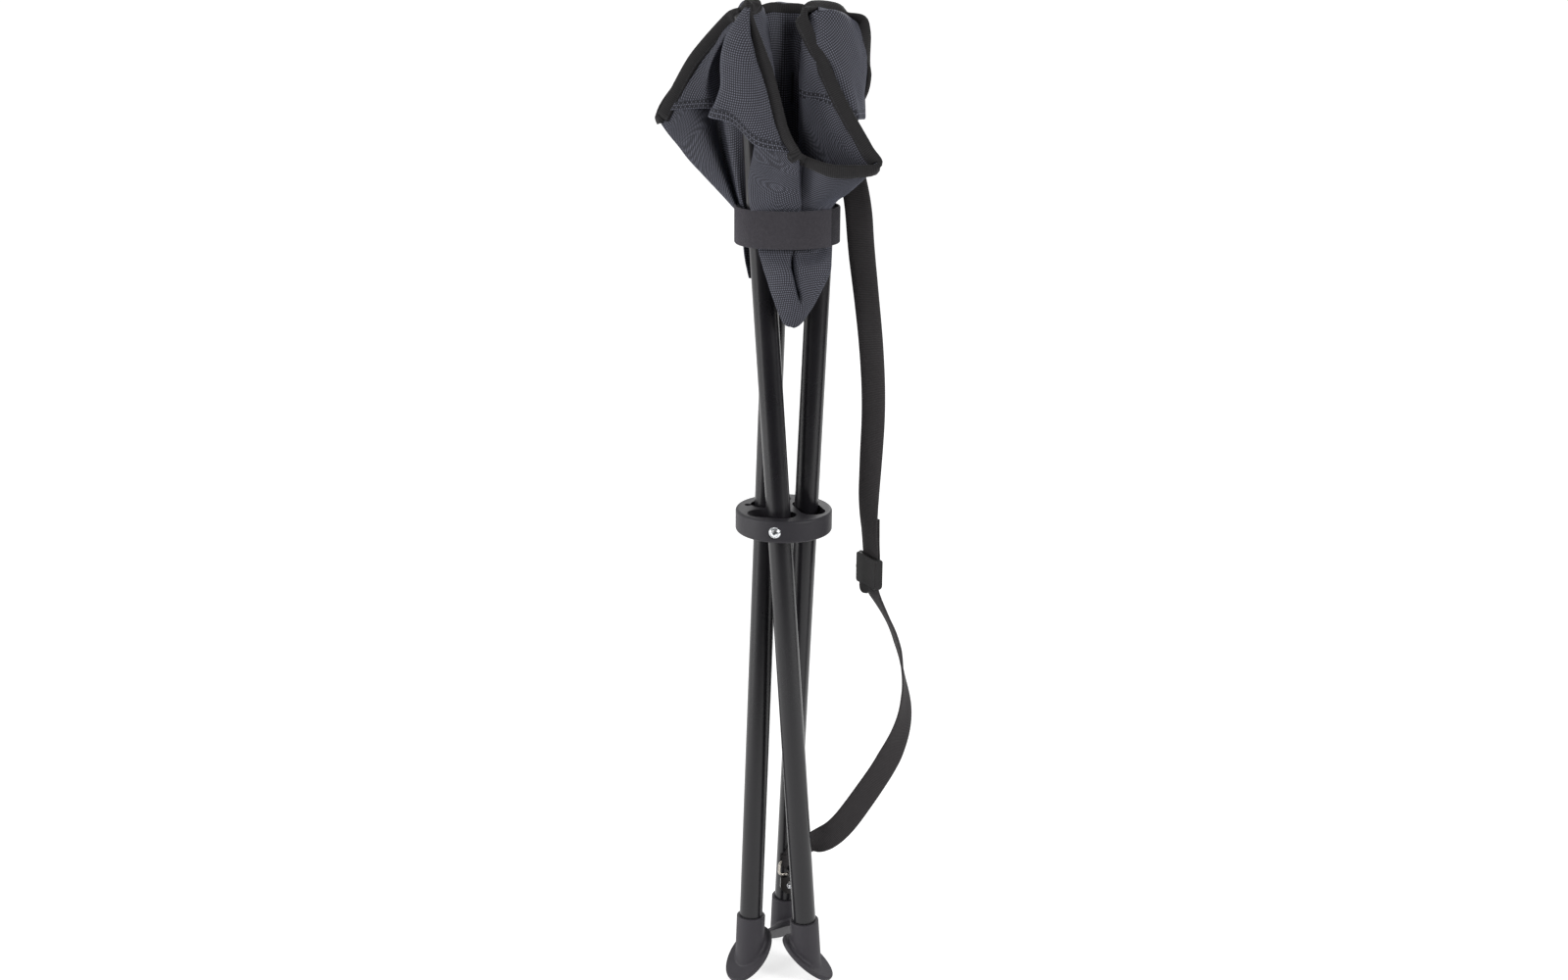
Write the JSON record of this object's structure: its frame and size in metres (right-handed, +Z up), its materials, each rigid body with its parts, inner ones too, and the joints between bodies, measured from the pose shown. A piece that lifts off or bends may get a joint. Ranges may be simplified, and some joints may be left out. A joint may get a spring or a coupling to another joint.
{
  "type": "folding camping stool",
  "caption": "Folding stool with straight tube legs pivoted in a slotted hub, slanted feet, a cloth seat gathered for carrying and a shoulder strap.",
  "frame": {"origin": "on the floor under the hub's axis, with the folded stool standing on its feet", "axes": "+Z up along the hub's axis, -Y towards the front, where leg a and its rivet are, +X to the side of the strap"},
  "size_m": [0.167, 0.0972, 0.6688],
  "materials": {
    "hub_plastic": "satin",
    "zinc": "bright",
    "seat_cloth": "matte weave",
    "loop_fabric": "fuzzy",
    "tab_leather": "gloss",
    "screw_steel": "bright",
    "nickel_wire": "bright",
    "webbing": "ribbed",
    "slider_plastic": "satin",
    "binding_tape": "ribbed",
    "black_tube": "satin",
    "plug_plastic": "matte",
    "foot_plastic": "matte"
  },
  "bodies": {
    "hub": {"hub": "hub_plastic", "pivot_rivets": "zinc", "seat_panel": "seat_cloth", "edge_binding_left": "binding_tape", "edge_binding_front": "binding_tape", "edge_binding_right": "binding_tape", "closure_strap": "loop_fabric", "closure_tab": "loop_fabric"},
    "leg_a": {"leg_tube_a": "black_tube", "leg_plug_a": "plug_plastic", "foot_a": "foot_plastic", "corner_pocket_a": "seat_cloth"},
    "leg_b": {"leg_tube_b": "black_tube", "leg_plug_b": "plug_plastic", "foot_b": "foot_plastic", "corner_pocket_b": "seat_cloth"},
    "leg_c": {"leg_tube_c": "black_tube", "leg_plug_c": "plug_plastic", "foot_c": "foot_plastic", "corner_pocket_c": "seat_cloth", "strap_tab": "tab_leather", "tab_screw": "screw_steel", "shoulder_strap_upper": "webbing", "shoulder_strap_lower": "webbing", "strap_slider": "slider_plastic"},
    "strap_ring": {"strap_ring": "nickel_wire"}
  },
  "joints": [
    {"name": "leg_a_fold", "type": "hinge", "parent": "hub", "child": "leg_a", "pos_m": [-0.0029, -0.01533, 0.33444], "axis": [-0.1856, -0.9825, -0.0166], "range_deg": [0, 39.24], "deforming": ["seat_panel", "edge_binding_left", "edge_binding_front", "edge_binding_right", "corner_pocket_a", "corner_pocket_b", "corner_pocket_c", "closure_strap", "closure_tab", "shoulder_strap_upper", "shoulder_strap_lower"]},
    {"name": "leg_b_fold", "type": "hinge", "parent": "hub", "child": "leg_b", "pos_m": [-0.01183, 0.01017, 0.33444], "axis": [-0.758, 0.652, -0.0166], "range_deg": [0, 39.24]},
    {"name": "leg_c_fold", "type": "hinge", "parent": "hub", "child": "leg_c", "pos_m": [0.01472, 0.00516, 0.33444], "axis": [0.9437, 0.3305, -0.0166], "range_deg": [0, 39.24]},
    {"name": "ring_swing", "type": "hinge", "parent": "leg_c", "child": "strap_ring", "pos_m": [0.00829, 0.01016, 0.06785], "axis": [0.9437, 0.3305, -0.0166], "range_deg": [0, 75]}
  ],
  "couplings": [
    {"joint": "leg_b_fold", "follows": "leg_a_fold", "ratio": 1},
    {"joint": "leg_c_fold", "follows": "leg_a_fold", "ratio": 1}
  ]
}
